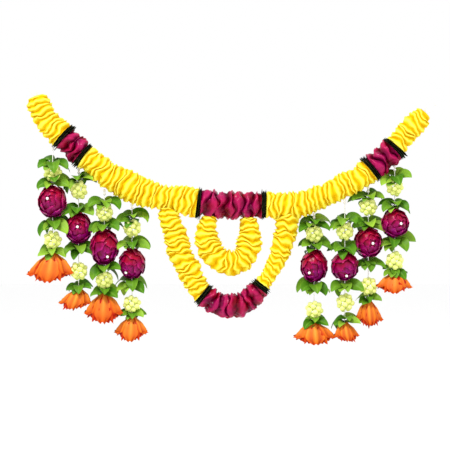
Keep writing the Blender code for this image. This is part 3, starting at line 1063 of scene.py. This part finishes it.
class Leaves:
    """The cloth leaves on a stretch of a strand."""

    ROWS = 13
    COLUMNS = 9
    ROLL = 40  # how far a leaf that points aside turns its face forward, in degrees
    FRONT_DROOP = 30  # how much further a leaf that points forward bends down, in degrees
    BACK_DROOP = 34  # how much further a leaf that points back bends down, in degrees
    STALK = 1.2  # half the width where a leaf starts, in millimetres
    WAVE = 0.9  # height of the waves along its edges, in millimetres
    FOLD = 0.28  # rise from the midrib to the edge, as a share of the distance
    # A whorl's leaves: degrees from the first, drop in millimetres and size of each.
    SPREAD = (
        (8, 0, 1.1),
        (120, 0, 1.26),
        (240, 0, 1.26),
        (62, 4, 1.18),
        (-58, 6, 1.12),
        (168, 3, 0.85),
        (-28, 9, 0.9),
        (206, 8, 1.08),
    )
    # How yellow a leaf is, and how many of the leaves are so.
    TONES = (0.0, 0.2, 0.5, 1.0)
    TONE_SHARES = (0.3, 0.3, 0.2, 0.2)

    def __init__(self, strand: Strand, rng: np.random.Generator) -> None:
        """Starts with no leaves.

        Args:
            strand: The strand they are bound to.
            rng: Varies the leaves.
        """
        self.strand = strand
        self.rng = rng
        self.builder = Builder()

    def leaf(self, z: float, whorl: Whorl, azimuth: float, size: float) -> None:
        """Adds one pointed leaf with a folded midrib.

        Args:
            z: The height where it leaves the thread, in millimetres.
            whorl: The shape of its kind.
            azimuth: The way it points, in radians.
            size: Its size against its kind.
        """
        share = np.linspace(0, 1, self.ROWS)
        droop = whorl.droop * self.rng.uniform(0.5, 1.9)
        back = math.sin(azimuth)
        droop += self.FRONT_DROOP * max(0.0, -back) + self.BACK_DROOP * max(0.0, back)
        rise = whorl.rise + self.rng.uniform(-10, 36)
        tilt = np.radians(rise - (rise + droop) * share)
        step = whorl.length * size * MM / (self.ROWS - 1)
        run_out = np.concatenate([[0], np.cumsum(np.cos(tilt[:-1]))]) * step
        fall = np.concatenate([[0], np.cumsum(np.sin(tilt[:-1]))]) * step
        half = whorl.width * size * MM / 2 * np.sin(math.pi * share**0.72) ** 0.8
        half = np.maximum(half, (1 - share) * self.STALK * MM)
        side = np.linspace(-1, 1, self.COLUMNS)
        roll = math.radians(self.ROLL) * math.cos(azimuth) * np.clip(share / 0.25, 0, 1)
        roll = roll + self.rng.uniform(-0.55, 0.55) * share
        across = half[:, None] * side[None, :]
        wave = np.sin(9 * share + self.rng.uniform(0, 6))[:, None] * side[None, :] ** 2
        waves = self.WAVE * MM * wave * np.minimum(1, share * 4)[:, None]
        lift = np.abs(across) * self.FOLD + waves
        out = np.array([math.cos(azimuth), math.sin(azimuth), 0])
        beside = np.array([-math.sin(azimuth), math.cos(azimuth), 0])
        up = np.array([0, 0, 1])
        along = np.cos(tilt)[:, None] * out + np.sin(tilt)[:, None] * up
        normal = -np.sin(tilt)[:, None] * out + np.cos(tilt)[:, None] * up
        edgeways = np.cos(roll)[:, None] * beside + np.sin(roll)[:, None] * normal
        face = np.cross(along, edgeways)
        middle = self.strand.place(z) + run_out[:, None] * out + fall[:, None] * up
        places = middle[:, None, :] + across[..., None] * edgeways[:, None, :]
        places = places + lift[..., None] * face[:, None, :]
        # Painted highlight along the midrib and at the edges; painted shade towards the leaf's
        # foot.
        rib = np.exp(-((side[None, :] / 0.16) ** 2)) * np.ones((self.ROWS, 1))
        edge = np.clip(0.9 * rib + 0.25 * np.abs(side[None, :]) ** 4, 0, 1)
        crest = np.clip(0.35 + 0.65 * share[:, None] + 0.15 * side[None, :], 0, 1)
        tone = self.rng.choice(self.TONES, p=self.TONE_SHARES) + 0.15 * share[:, None]
        self.builder.grid(places, crest, edge, tone)

    def whorl(self, z: float, whorl: Whorl, turn: float) -> None:
        """Adds a star of leaves.

        Args:
            z: Its height, in millimetres.
            whorl: Its shape.
            turn: The way its first leaf points, in degrees.
        """
        for way, drop, size in self.SPREAD:
            azimuth = math.radians(turn + way + self.rng.uniform(-9, 9))
            self.leaf(z - drop, whorl, azimuth, size * self.rng.uniform(0.82, 1.06))

    def build(self, name: str, palette: Palette) -> bpy.types.Object:
        """Makes the leaves.

        Args:
            name: The piece's name, which is also the CAD node's.
            palette: Where materials are found.

        Returns:
            The piece.
        """
        obj = self.builder.make(name, LEAF, palette)
        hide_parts(name)
        return obj


class Berries:
    """Two bunches of round berries on a strand."""

    COUNT = 20
    RADIUS = 5.9
    SPREAD = (0.98, 1.14)  # how far out berries stand, as shares of the bunch's radius less theirs
    SIZES = (0.9, 1.08)
    TALL = 1.08  # a bunch is a little taller than it is wide

    def __init__(self, strand: Strand, rng: np.random.Generator) -> None:
        """Starts with no berries.

        Args:
            strand: The strand they are on.
            rng: Varies them.
        """
        self.strand = strand
        self.rng = rng
        self.builder = Builder()

    def bunch(self, z: float) -> None:
        """Adds one bunch.

        Args:
            z: The height of its middle, in millimetres.
        """
        golden = math.radians(137.508)
        turn = self.rng.uniform(0, 6)
        for i in range(self.COUNT):
            up = 1 - (2 * i + 1) / self.COUNT
            ring = math.sqrt(1 - up * up)
            reach = (Strand.BERRY_BALL - self.RADIUS) * self.rng.uniform(*self.SPREAD)
            angle = turn + i * golden
            way = np.array([ring * math.cos(angle), ring * math.sin(angle), self.TALL * up])
            radius = self.RADIUS * self.rng.uniform(*self.SIZES)
            place = self.strand.place(z) + way * reach * MM
            self.builder.ball(place, radius * MM, self.rng.uniform(0, 0.8))

    def build(self, palette: Palette) -> bpy.types.Object:
        """Makes both bunches.

        Args:
            palette: Where materials are found.

        Returns:
            The piece.
        """
        self.bunch(self.strand.upper)
        self.bunch(self.strand.lower)
        return self.builder.make(self.strand.name + "_berries", BERRY, palette)


class RoseBall:
    """A ball of satin petals round a pearl."""

    # The tiers of petals: degrees from the heart to the tip and to the foot, how many, how far out.
    TIERS = (
        (7, 62, 4, 0.95),
        (30, 88, 5, 0.97),
        (54, 118, 6, 1.0),
        (84, 148, 7, 1.0),
        (116, 168, 6, 0.98),
        (146, 178, 4, 0.95),
    )
    ROWS = 11
    COLUMNS = 13
    FULLNESS = 1.04  # the petals against the solid ball
    OVERLAP = 1.32  # a petal's width against its share of the tier
    CRINKLE = 0.016  # as a share of the radius
    TILT = 0.03  # how far a petal's side lifts over its neighbour, as a share of the radius
    FARTHEST = 1.03
    CORE = 0.86  # radius of the ball under the petals, as a share
    HEART_DEPTH = 0.94
    PEARL = 3.2

    def __init__(self, strand: Strand, rng: np.random.Generator) -> None:
        """Sets the way the rose faces.

        Args:
            strand: The strand it is on.
            rng: Varies the petals.
        """
        self.strand = strand
        self.rng = rng
        right, up = strand.rose.heart
        self.facing = np.array([right, -math.sqrt(1 - right * right - up * up), up])
        beside = np.cross(self.facing, [0, 0, 1])
        self.beside = beside / np.linalg.norm(beside)
        self.above = np.cross(self.beside, self.facing)
        self.centre = strand.place(strand.rose.z)
        size = strand.rose
        self.scale = np.array([size.wide, size.wide, size.tall]) * MM * self.FULLNESS

    def spot(self, polar: Array, angle: Array, out: Array) -> Array:
        """Places on the ball.

        Args:
            polar: Angles from the heart.
            angle: Angles round it.
            out: Distances from the middle, as shares of the radius.

        Returns:
            The places, in metres.
        """
        across = np.cos(angle)[..., None] * self.beside + np.sin(angle)[..., None] * self.above
        way = np.cos(polar)[..., None] * self.facing + np.sin(polar)[..., None] * across
        return self.centre + way * out[..., None] * self.scale

    def petal(self, builder: Builder, tier: int, number: int) -> None:
        """Adds one petal.

        Args:
            builder: Where it goes.
            tier: Its tier, 0 at the heart.
            number: Its place in the tier.
        """
        tip, foot, count, out = self.TIERS[tier]
        t = np.linspace(0, 1, self.ROWS)[:, None]
        v = np.linspace(-1, 1, self.COLUMNS)[None, :]
        middle = 2 * math.pi * (number + 0.5 * (tier % 2)) / count + self.rng.uniform(-0.15, 0.15)
        lean = self.rng.uniform(-5, 5)
        polar = np.radians(foot + (tip + lean - foot) * t) + 0 * v
        width = math.pi / count * self.OVERLAP * (1 - t**5) ** 0.5
        polar = polar + np.radians(10) * (v**2) * t**2
        spread = np.minimum(1.6, 1 / np.maximum(np.sin(polar), 0.25))
        angle = middle + width * v * (0.75 + 0.25 * spread)
        crinkle = np.sin(9 * v + 4 * t + self.rng.uniform(0, 6))
        crinkle = crinkle + 0.7 * np.sin(7 * t - 5 * v + self.rng.uniform(0, 6))
        tilt = self.TILT * v * (1 if number % 2 else -1)
        curl = np.clip((t - 0.7) / 0.3, 0, 1) ** 2
        lift = out * (0.87 + 0.10 * t + 0.04 * curl) + self.CRINKLE * crinkle * t + tilt * t
        places = self.spot(polar, angle, np.minimum(lift, self.FARTHEST))
        # Painted highlight at petal tips and sides; painted shade at petal feet and in crinkles.
        edge = np.clip(np.maximum((t - 0.86) / 0.14, (np.abs(v) - 0.84) / 0.16 * t), 0, 1)
        crest = np.clip(0.05 + 1.1 * (t - 0.25) + 0.16 * crinkle, 0, 1)
        # The petals turn darker and purpler towards the bottom of the ball.
        height = (places[..., 2] - self.centre[2]) / (self.strand.rose.tall * MM)
        low = np.clip(0.5 - 0.9 * height, 0, 1)
        builder.grid(places, crest, edge, np.clip(low + self.rng.uniform(-0.25, 0.25), 0, 1))

    def build(self, palette: Palette) -> list[bpy.types.Object]:
        """Makes the petals and the pearl.

        Args:
            palette: Where materials are found.

        Returns:
            The two pieces.
        """
        petals = Builder()
        for tier, (_, _, count, _) in enumerate(self.TIERS):
            for number in range(count):
                self.petal(petals, tier, number)
        # A ball under the petals, in painted shade, fills the gaps between them.
        polar = np.linspace(0.01, math.pi - 0.01, 20)[:, None]
        angle = np.linspace(0, 2 * math.pi, 33)[None, :]
        core = self.CORE + 0 * polar * angle
        petals.grid(self.spot(polar + 0 * angle, angle + 0 * polar, core), 0.3, 0.0, 0.4)
        rose = petals.make(self.strand.name + "_rose", ROSE, palette)
        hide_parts(self.strand.name + "_rose")
        pearl = Builder()
        heart = self.spot(np.array([0.02]), np.array([0.0]), np.array([self.HEART_DEPTH]))[0]
        pearl.ball(heart, self.PEARL * MM, 0.3)
        return [rose, pearl.make(self.strand.name + "_rose_heart", PEARL, palette)]


class BellFlower:
    """An orange bell flower of pointed petals."""

    PETALS = 5  # in each of two rings
    THROAT = 6  # radius of the neck, in millimetres
    DEEPEST = 32  # radius to the front and back, in millimetres
    TIP = 0.14  # how far tips stand out past the rest of the mouth
    OVERLAP = 1.34  # a petal's width against its share of the ring
    TAPER = 0.66
    OUTER, INNER = 0.985, 0.88  # each ring's size against the solid bell
    ROWS = 18
    COLUMNS = 17
    DROPS = (0.0, 0.14, 0.32, 0.64, 1.0)  # the profile: how far down each of these widths is
    FLARES = (0.0, 0.30, 0.62, 0.88, 1.0)
    SIDE_LIFT = 0.28  # how much higher the mouth is at its sides
    CURL = 0.16  # how far outer tips turn out and up
    INNER_CURL = 0.02
    RIPPLE = 0.17
    JAG = 0.048

    def __init__(self, strand: Strand, rng: np.random.Generator) -> None:
        """Sets the flower's place.

        Args:
            strand: The strand it hangs from.
            rng: Varies the petals.
        """
        self.strand = strand
        self.rng = rng

    def petal(self, builder: Builder, middle: float, inner: bool) -> None:
        """Adds one petal.

        Args:
            builder: Where it goes.
            middle: The way it points, in radians.
            inner: Whether it belongs to the inner ring, which is painted in shade, darker and
                redder.
        """
        bell = self.strand.bell
        t = np.linspace(0, 1, self.ROWS)[:, None]
        v = np.linspace(-1, 1, self.COLUMNS)[None, :]
        flare = np.interp(t, self.DROPS, self.FLARES)
        taper = self.TAPER * (np.clip(t - 0.55, 0, 1) / 0.45) ** 2.6
        angle = middle + math.pi / self.PETALS * self.OVERLAP * v * (1 - taper)
        fold = np.cos(3.0 * math.pi * v + self.rng.uniform(-0.7, 0.7))
        fold = fold * (0.65 + 0.35 * np.sin(3 * t + self.rng.uniform(0, 3)))
        ripple = self.RIPPLE * fold * t**0.8 + 0.05 * v * (1 if inner else -1) * t
        curl = (self.INNER_CURL if inner else self.CURL) * np.clip((t - 0.66) / 0.34, 0, 1) ** 2
        tip = self.TIP * flare * (1 - np.abs(v) * 1.6)
        reach = flare * (1 + tip + ripple + curl * 0.55)
        mean = bell.wide / (1 + self.TIP)
        size = self.INNER if inner else self.OUTER
        wide = self.THROAT + (mean * size - self.THROAT) * reach
        depth = self.THROAT + (min(mean, self.DEEPEST) * size - self.THROAT) * reach
        jag = self.JAG * np.sin(8 * v + 5 * middle) + 0.05 * self.rng.uniform(-1, 1)
        drop = t * (1 - 0.10 * np.abs(v) * flare) - curl * 0.75 + jag * flare**2
        drop = drop * (1 - self.SIDE_LIFT * flare * np.cos(angle) ** 2) * (0.93 if inner else 1.0)
        aside = bell.aside * np.clip(drop, 0, 1) ** 1.5
        places = [np.cos(angle) * wide + aside, np.sin(angle) * depth, -drop * bell.tall + 0 * v]
        places = self.strand.place(bell.z) + np.stack(places, axis=2) * MM
        # Painted highlight on outer petals' upper middles; painted shade in folds, at sides, on the
        # inner ring.
        edge = np.clip(0.75 * np.cos(math.pi * t * 0.9 - 0.9) * (1 - np.abs(v)), 0, 1)
        crest = 0.58 + 0.75 * fold * t**0.4 - 0.4 * np.abs(v) ** 3 - (0.6 if inner else 0)
        # The tone paints a highlight: lighter and yellower near the neck and on fold ridges.
        tone = np.clip(0.75 - 0.7 * t + 0.3 * fold + self.rng.uniform(-0.25, 0.25), 0, 1) + 0 * v
        builder.grid(places, np.clip(crest, 0, 1), edge * (0 if inner else 1), tone)

    def build(self, palette: Palette) -> bpy.types.Object:
        """Makes the flower.

        Args:
            palette: Where materials are found.

        Returns:
            The piece.
        """
        builder = Builder()
        turn = math.radians(self.strand.turns[3])
        for inner, start in ((False, 0.0), (True, 0.5)):
            for i in range(self.PETALS):
                self.petal(builder, turn + 2 * math.pi * (i + start) / self.PETALS, inner)
        flower = builder.make(self.strand.name + "_bell", ORANGE, palette)
        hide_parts(self.strand.name + "_bell")
        return flower


class Threads:
    """The thread of a strand and the pearls on it."""

    RADIUS = 0.9
    PEARL = 3.2
    UPPER_PEARLS = (4, 10.6)  # under the swag, in millimetres
    LOWER_PEARLS = (8, 14.5, 21)  # under the rose, in millimetres

    def __init__(self, strand: Strand, top: float) -> None:
        """Sets where the thread is sewn on.

        Args:
            strand: The strand.
            top: The height of the swag's underside there, in millimetres.
        """
        self.strand = strand
        self.top = top

    def build(self, palette: Palette) -> list[bpy.types.Object]:
        """Makes the thread and its pearls.

        Args:
            palette: Where materials are found.

        Returns:
            The pieces.
        """
        strand = self.strand
        thread = Builder()
        above, below = strand.rose.ends()
        for top, bottom in ((self.top, above), (below, strand.bell.z)):
            heights = np.linspace(top, bottom, 12)[:, None]
            angle = np.linspace(0, 2 * math.pi, 8, endpoint=False)[None, :]
            x = strand.x + self.RADIUS * np.cos(angle) + 0 * heights
            y = strand.y + self.RADIUS * np.sin(angle) + 0 * heights
            places = np.stack([x, y, heights + 0 * angle], axis=2) * MM
            thread.grid(places, 1.0, 0.0, 0.0, closed=True)
        pearls = Builder()
        for start, gaps in ((self.top, self.UPPER_PEARLS), (below, self.LOWER_PEARLS)):
            for gap in gaps:
                pearls.ball(strand.place(start - gap), self.PEARL * MM, 0.2)
        return [
            thread.make(strand.name + "_thread", THREAD, palette),
            pearls.make(strand.name + "_pearls", PEARL, palette),
        ]


class Strands:
    """The eight strands under the swag."""

    SEED = 40
    OVER_BERRIES = 3  # gaps from the whorls to what they sit on or under, in millimetres
    OVER_ROSE = 9
    UNDER_ROSE = 6
    OVER_BELL = 6

    def build(self, palette: Palette) -> None:
        """Makes every strand.

        Args:
            palette: Where materials are found.
        """
        for number, strand in enumerate(STRANDS):
            rng = np.random.default_rng(self.SEED + number)
            _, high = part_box(strand.name + "_upper_spray")
            above, below = strand.rose.ends()
            top = strand.upper + Strand.BERRY_BALL + self.OVER_BERRIES
            upper = Leaves(strand, rng)
            upper.whorl(top, TOP_WHORL, strand.turns[0])
            upper.whorl(above + self.OVER_ROSE, ROSE_WHORL, strand.turns[1])
            upper.build(strand.name + "_upper_spray", palette)
            lower = Leaves(strand, rng)
            lower.whorl(below - self.UNDER_ROSE, LOW_WHORL, strand.turns[2])
            lower.whorl(strand.bell.z + self.OVER_BELL, BELL_WHORL, strand.turns[3])
            lower.build(strand.name + "_lower_spray", palette)
            Berries(strand, rng).build(palette)
            RoseBall(strand, rng).build(palette)
            BellFlower(strand, rng).build(palette)
            Threads(strand, high[2] / MM).build(palette)


@dataclass(frozen=True)
class EndLoop:
    """A loop of twisted thread at one end of the swag, in millimetres."""

    name: str
    at_start: bool
    long: float = 30
    wide: float = 17
    thread: float = 2.6
    gap: float = 0.6  # from the loop to the end of the swag
    plies: int = 2
    twists: int = 14
    steps: int = 160

    def build(self, swag: Route, palette: Palette) -> bpy.types.Object:
        """Makes the loop.

        Args:
            swag: The swag's route.
            palette: Where materials are found.

        Returns:
            The piece.
        """
        x, z, turn, _ = (float(v) for v in swag.at(np.array(0.0 if self.at_start else swag.length)))
        way = -1 if self.at_start else 1
        out = np.array([math.cos(turn), 0, math.sin(turn)]) * way
        across = np.array([-out[2], 0, out[0]])
        centre = np.array([x, 0, z]) + out * (self.long / 2 + self.thread / 2 + self.gap) * MM
        builder = Builder()
        t = np.linspace(0, 2 * math.pi, self.steps)
        narrow = 1 - 0.25 * (1 - np.cos(t)) / 2
        line = np.cos(t)[:, None] * out * self.long / 2
        line = line + (np.sin(t) * narrow)[:, None] * across * self.wide / 2
        side = np.cos(t)[:, None] * out + np.sin(t)[:, None] * across
        deep = np.array([0.0, 1.0, 0.0])
        angle = np.linspace(0, 2 * math.pi, 8, endpoint=False)
        for ply in range(self.plies):
            phase = self.twists * t + 2 * math.pi * ply / self.plies
            twist = np.cos(phase)[:, None] * side + np.sin(phase)[:, None] * deep
            middle = line + twist * self.thread / 4
            ring = np.cos(angle)[None, :, None] * side[:, None, :]
            ring = ring + np.sin(angle)[None, :, None] * deep
            places = centre + (middle[:, None, :] + ring * self.thread / 4) * MM
            builder.grid(places, 0.8, 0.0, 0.2, closed=True)
        obj = builder.make(self.name, THREAD, palette)
        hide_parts(self.name)
        return obj


@dataclass(frozen=True)
class Lamp:
    """A soft round light that faces the hanging, in metres and watts."""

    name: str
    place: tuple[float, float, float]
    size: float
    power: float


@dataclass(frozen=True)
class Studio:
    """The plain pale floor, the lights and the camera, in metres."""

    camera_x: float = -0.0156
    camera_z: float = -0.2762
    distance: float = 3.4
    shown: float = 1.0025  # width of the image at the swag
    floor: float = -0.95
    reach: float = 14.0  # half the floor's width
    middle: float = -0.28  # height that the lights face
    lamps: tuple[Lamp, ...] = (
        Lamp("key", (-0.7, -1.5, 2.3), size=0.8, power=96),
        Lamp("fill", (1.8, -2.4, 0.4), size=1.6, power=8),
    )

    def lay_floor(self) -> bpy.types.Object:
        """Makes the floor.

        Returns:
            The object.
        """
        ends = (-self.reach, self.reach)
        points = [(x, y, self.floor) for x in ends for y in ends]
        mesh = bpy.data.meshes.new("studio_floor")
        mesh.from_pydata(points, [], [(0, 2, 3, 1)])
        shader = Shader("studio_floor")
        shader.feed("Base Color", (0.98, 0.98, 0.98, 1.0))
        shader.feed("Roughness", 0.9)
        mesh.materials.append(shader.material)
        obj = bpy.data.objects.new("studio_floor", mesh)
        bpy.context.scene.collection.objects.link(obj)
        return obj

    def hang(self, lamp: Lamp) -> None:
        """Adds a light.

        Args:
            lamp: Its place, size and power.
        """
        data = bpy.data.lights.new(lamp.name, "AREA")
        data.shape = "DISK"
        data.size = lamp.size
        data.energy = lamp.power
        obj = bpy.data.objects.new(lamp.name, data)
        obj.location = lamp.place
        way = Vector((0, 0, self.middle)) - Vector(lamp.place)
        obj.rotation_euler = way.to_track_quat("-Z", "Y").to_euler()
        bpy.context.scene.collection.objects.link(obj)

    def build(self) -> None:
        """Makes the floor, the lights and the camera."""
        self.lay_floor()
        world = bpy.data.worlds.new("studio_world")
        bpy.context.scene.world = world
        world.use_nodes = True
        background = world.node_tree.nodes["Background"]
        background.inputs["Color"].default_value = (1, 1, 1, 1)
        background.inputs["Strength"].default_value = 1.0
        for lamp in self.lamps:
            self.hang(lamp)
        camera = bpy.data.cameras.new("camera")
        camera.lens = camera.sensor_width * self.distance / self.shown
        obj = bpy.data.objects.new("camera", camera)
        obj.location = (self.camera_x, -self.distance, self.camera_z)
        obj.rotation_euler = (math.pi / 2, 0, 0)
        bpy.context.scene.collection.objects.link(obj)
        bpy.context.scene.camera = obj
        bpy.context.scene.view_settings.view_transform = "Standard"


def main() -> None:
    """Builds the toran piece by piece."""
    logging.basicConfig(level=logging.INFO, format="%(message)s")
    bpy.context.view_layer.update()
    palette = Palette()
    garland = Garland()
    garland.build(palette)
    for loop in (EndLoop("nail_loop_left", True), EndLoop("nail_loop_right", False)):
        loop.build(garland.swag, palette)
    Strands().build(palette)
    Studio().build()


if __name__ == "__main__":
    main()
